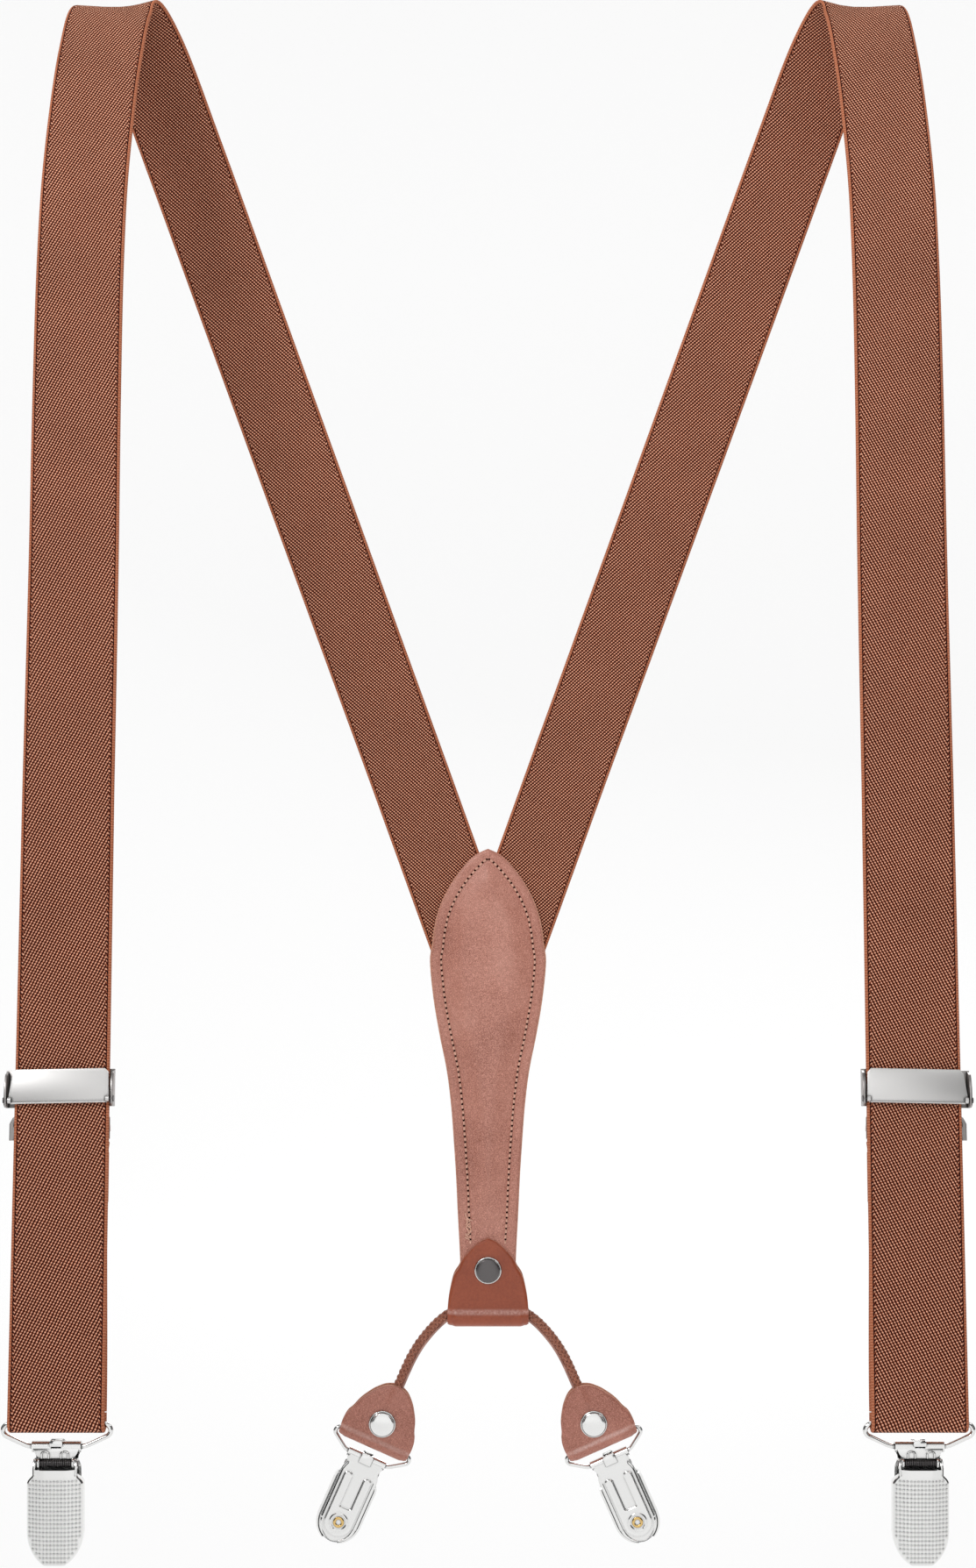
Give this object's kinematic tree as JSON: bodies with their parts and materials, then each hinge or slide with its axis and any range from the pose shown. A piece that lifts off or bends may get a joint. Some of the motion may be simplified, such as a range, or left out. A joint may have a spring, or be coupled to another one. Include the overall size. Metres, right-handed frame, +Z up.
{
  "type": "suspenders",
  "caption": "Clip-on Y-back suspenders: elastic webbing straps over both shoulders, slide adjusters, a leather yoke, a braided cord with leather tabs, and hinged metal trouser clips.",
  "frame": {"origin": "midpoint between the undersides of the two shoulder arches, where the straps rest on the wearer", "axes": "+Z up, -Y to the wearer's front, +X to the side of the right-hand strap as seen from the front"},
  "size_m": [0.31, 0.1726, 0.5706],
  "materials": {
    "webbing": "elastic twill webbing, matt",
    "cord": "braided round cord",
    "yoke_leather": "fine-grained leather, satin",
    "tab_leather": "fine-grained leather, satin",
    "dark_metal": "blackened steel",
    "brass": "polished brass",
    "clear_plastic": "clear soft plastic",
    "satin_metal": "satin nickel plate",
    "nickel": "bright nickel plate"
  },
  "bodies": {
    "root": {"left_strap": "webbing", "right_strap": "webbing", "yoke_front_leather": "yoke_leather", "yoke_back_leather": "yoke_leather", "yoke_stiffener": "yoke_leather", "yoke_rivet_cap": "dark_metal", "yoke_rivet_post": "dark_metal"},
    "left_drop": {"left_strap_loop": "webbing"},
    "left_adjuster": {"left_adjuster_frame": "satin_metal", "left_adjuster_pins": "dark_metal", "left_strap_tail": "webbing"},
    "left_cover": {"left_adjuster_cover": "satin_metal"},
    "right_drop": {"right_strap_loop": "webbing"},
    "right_adjuster": {"right_adjuster_frame": "satin_metal", "right_adjuster_pins": "dark_metal", "right_strap_tail": "webbing"},
    "right_cover": {"right_adjuster_cover": "satin_metal"},
    "hanger": {"hanger_loop": "tab_leather"},
    "cord": {"braided_cord": "cord", "left_tab": "tab_leather", "left_tab_rivet_cap": "nickel", "left_tab_rivet_post": "nickel", "right_tab": "tab_leather", "right_tab_rivet_cap": "nickel", "right_tab_rivet_post": "nickel"},
    "front_left_ring": {"front_left_ring": "nickel"},
    "front_left_clip": {"front_left_base_plate": "nickel", "front_left_base_pad": "clear_plastic", "front_left_eyelet": "brass", "front_left_pivot_pin": "dark_metal"},
    "front_left_lever": {"front_left_lever_plate": "nickel", "front_left_lever_pad": "clear_plastic"},
    "front_right_ring": {"front_right_ring": "nickel"},
    "front_right_clip": {"front_right_base_plate": "nickel", "front_right_base_pad": "clear_plastic", "front_right_eyelet": "brass", "front_right_pivot_pin": "dark_metal"},
    "front_right_lever": {"front_right_lever_plate": "nickel", "front_right_lever_pad": "clear_plastic"},
    "back_left_ring": {"back_left_ring": "nickel"},
    "back_left_clip": {"back_left_base_plate": "nickel", "back_left_base_pad": "clear_plastic", "back_left_eyelet": "brass", "back_left_pivot_pin": "dark_metal"},
    "back_left_lever": {"back_left_lever_plate": "nickel", "back_left_lever_pad": "clear_plastic"},
    "back_right_ring": {"back_right_ring": "nickel"},
    "back_right_clip": {"back_right_base_plate": "nickel", "back_right_base_pad": "clear_plastic", "back_right_eyelet": "brass", "back_right_pivot_pin": "dark_metal"},
    "back_right_lever": {"back_right_lever_plate": "nickel", "back_right_lever_pad": "clear_plastic"}
  },
  "joints": [
    {"name": "left_drop_slide", "type": "slide", "parent": "root", "child": "left_drop", "axis": [-0.0188, 0.2079, 0.978], "range_m": [-0.035, 0.035], "deforming": ["left_strap_loop"]},
    {"name": "left_adjuster_slide", "type": "slide", "parent": "left_drop", "child": "left_adjuster", "axis": [-0.0188, 0.2079, 0.978], "range_m": [-0.035, 0.035], "deforming": ["left_strap_tail"]},
    {"name": "left_cover_hinge", "type": "hinge", "parent": "left_adjuster", "child": "left_cover", "pos_m": [-0.13548, -0.10103, -0.37744], "axis": [0.9998, 0, 0.0192], "range_deg": [0, 85]},
    {"name": "right_drop_slide", "type": "slide", "parent": "root", "child": "right_drop", "axis": [0.0188, 0.2079, 0.978], "range_m": [-0.035, 0.035], "deforming": ["right_strap_loop"]},
    {"name": "right_adjuster_slide", "type": "slide", "parent": "right_drop", "child": "right_adjuster", "axis": [0.0188, 0.2079, 0.978], "range_m": [-0.035, 0.035], "deforming": ["right_strap_tail"]},
    {"name": "right_cover_hinge", "type": "hinge", "parent": "right_adjuster", "child": "right_cover", "pos_m": [0.13548, -0.10103, -0.37744], "axis": [0.9998, 0, -0.0192], "range_deg": [0, 85]},
    {"name": "hanger_swivel", "type": "hinge", "parent": "root", "child": "hanger", "pos_m": [0, 0.045, -0.4617], "axis": [0, 1, 0], "range_deg": [-15, 15]},
    {"name": "cord_slide", "type": "hinge", "parent": "hanger", "child": "cord", "pos_m": [0, 0.045, -0.5029], "axis": [0, 1, 0], "range_deg": [-10, 10]},
    {"name": "front_left_ring_swing", "type": "hinge", "parent": "left_drop", "child": "front_left_ring", "pos_m": [-0.1328, -0.1176, -0.4751], "axis": [-1, 0, 0], "range_deg": [-60, 60]},
    {"name": "front_left_clip_swing", "type": "hinge", "parent": "front_left_ring", "child": "front_left_clip", "pos_m": [-0.1328, -0.1176, -0.48206], "axis": [-1, 0, 0], "range_deg": [-45, 45]},
    {"name": "front_left_lever_hinge", "type": "hinge", "parent": "front_left_clip", "child": "front_left_lever", "pos_m": [-0.1328, -0.1192, -0.48686], "axis": [-1, 0, 0], "range_deg": [0, 75]},
    {"name": "front_right_ring_swing", "type": "hinge", "parent": "right_drop", "child": "front_right_ring", "pos_m": [0.1328, -0.1176, -0.4751], "axis": [-1, 0, 0], "range_deg": [-60, 60]},
    {"name": "front_right_clip_swing", "type": "hinge", "parent": "front_right_ring", "child": "front_right_clip", "pos_m": [0.1328, -0.1176, -0.48206], "axis": [-1, 0, 0], "range_deg": [-45, 45]},
    {"name": "front_right_lever_hinge", "type": "hinge", "parent": "front_right_clip", "child": "front_right_lever", "pos_m": [0.1328, -0.1192, -0.48686], "axis": [-1, 0, 0], "range_deg": [0, 75]},
    {"name": "back_left_ring_swing", "type": "hinge", "parent": "cord", "child": "back_left_ring", "pos_m": [-0.0432, 0.045, -0.5273], "axis": [0.9135, 0, -0.4067], "range_deg": [-60, 60]},
    {"name": "back_left_clip_swing", "type": "hinge", "parent": "back_left_ring", "child": "back_left_clip", "pos_m": [-0.04609, 0.045, -0.53378], "axis": [0.9135, 0, -0.4067], "range_deg": [-45, 45]},
    {"name": "back_left_lever_hinge", "type": "hinge", "parent": "back_left_clip", "child": "back_left_lever", "pos_m": [-0.04804, 0.0466, -0.53817], "axis": [0.9135, 0, -0.4067], "range_deg": [0, 75]},
    {"name": "back_right_ring_swing", "type": "hinge", "parent": "cord", "child": "back_right_ring", "pos_m": [0.0432, 0.045, -0.5273], "axis": [0.9135, 0, 0.4067], "range_deg": [-60, 60]},
    {"name": "back_right_clip_swing", "type": "hinge", "parent": "back_right_ring", "child": "back_right_clip", "pos_m": [0.04609, 0.045, -0.53378], "axis": [0.9135, 0, 0.4067], "range_deg": [-45, 45]},
    {"name": "back_right_lever_hinge", "type": "hinge", "parent": "back_right_clip", "child": "back_right_lever", "pos_m": [0.04804, 0.0466, -0.53817], "axis": [0.9135, 0, 0.4067], "range_deg": [0, 75]}
  ],
  "couplings": [
    {"joint": "left_drop_slide", "follows": "left_adjuster_slide", "ratio": 1},
    {"joint": "right_drop_slide", "follows": "right_adjuster_slide", "ratio": 1}
  ]
}
